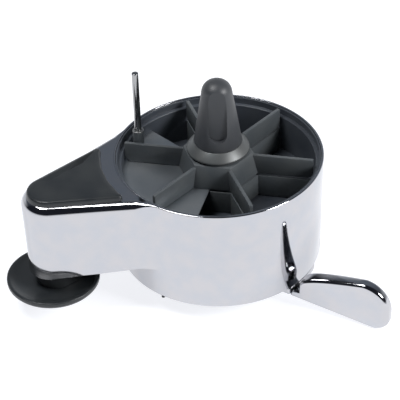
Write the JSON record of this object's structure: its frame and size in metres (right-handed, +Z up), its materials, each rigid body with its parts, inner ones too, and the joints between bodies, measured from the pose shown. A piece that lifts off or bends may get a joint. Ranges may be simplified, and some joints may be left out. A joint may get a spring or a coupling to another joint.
{
  "type": "coffee grinder doser",
  "caption": "Open drum doser with a vaned star under a cone dose knob, a side arm carrying a fixed round tamper, and a pull lever below.",
  "frame": {"origin": "centre of the drum's open mouth, on the axis of the turning star, level with the drum's rim", "axes": "+Z up along the star's axis out of the mouth; +Y towards the grinder that the rear flange bolts to; -Y faces the user; -X towards the tamper arm"},
  "size_m": [0.236, 0.1528, 0.1362],
  "materials": {
    "chrome": "mirror polished plating",
    "dark_liner": "moulded, slightly glossy",
    "black_plastic": "moulded, satin gloss",
    "black_tamper": "moulded, satin gloss",
    "knob_plastic": "fine satin",
    "satin_skirt": "satin",
    "satin_steel": "satin",
    "polished_steel": "ground and polished",
    "pin_collar": "satin",
    "zinc_steel": "zinc plated",
    "dark_steel": "oiled",
    "bronze": "turned",
    "rubber": "matt"
  },
  "bodies": {
    "housing": {"drum_housing": "chrome", "chamber_liner": "dark_liner", "chamber_floor": "dark_liner", "floor_bush": "bronze", "level_plate": "satin_steel", "outlet_chute": "black_plastic", "base_plate": "black_plastic", "base_bush": "bronze", "base_screws": "zinc_steel", "floor_screws": "zinc_steel", "foot_nubs": "rubber", "return_spring": "dark_steel", "arm_pad": "black_tamper", "tamper_neck": "black_tamper", "tamper_disc": "black_tamper", "tamper_screw": "zinc_steel"},
    "star": {"lower_star": "black_plastic", "star_shaft": "polished_steel", "ratchet_wheel": "dark_steel", "drive_pin": "zinc_steel", "shaft_washer": "zinc_steel", "shaft_circlip": "dark_steel"},
    "upper_star": {"upper_star": "black_plastic", "pin_collar": "pin_collar", "turning_pin": "polished_steel"},
    "knob": {"knob_cone": "knob_plastic", "knob_skirt": "satin_skirt", "adjusting_nut": "bronze"},
    "lever": {"lever_handle": "chrome", "pawl_carrier": "dark_steel", "lever_screws": "zinc_steel", "pawl_pin": "zinc_steel", "pawl_spring": "dark_steel"},
    "pawl": {"pawl": "dark_steel"}
  },
  "joints": [
    {"name": "lever_pull", "type": "hinge", "parent": "housing", "child": "lever", "pos_m": [0, 0, -0.0737], "axis": [0, 0, -1], "range_deg": [0, 60], "stiffness_Nm_per_rad": 0.25, "springref_deg": -17.19},
    {"name": "star_spin", "type": "hinge", "parent": "housing", "child": "star", "pos_m": [0, 0, -0.03], "axis": [0, 0, -1], "range_deg": [0, 60]},
    {"name": "dose_lift", "type": "slide", "parent": "star", "child": "upper_star", "axis": [0, 0, 1], "range_m": [0, 0.00375]},
    {"name": "knob_turn", "type": "hinge", "parent": "upper_star", "child": "knob", "pos_m": [0, 0, 0.01], "axis": [0, 0, 1], "range_deg": [0, 1080]},
    {"name": "pawl_lift", "type": "hinge", "parent": "lever", "child": "pawl", "pos_m": [0.02913, 0.0106, -0.046], "axis": [0, 0, 1], "range_deg": [0, 18], "stiffness_Nm_per_rad": 0.02, "springref_deg": -11.46}
  ],
  "couplings": [
    {"joint": "star_spin", "follows": "lever_pull", "ratio": 1},
    {"joint": "knob_turn", "follows": "dose_lift", "rad_per_m": 5026.5}
  ]
}
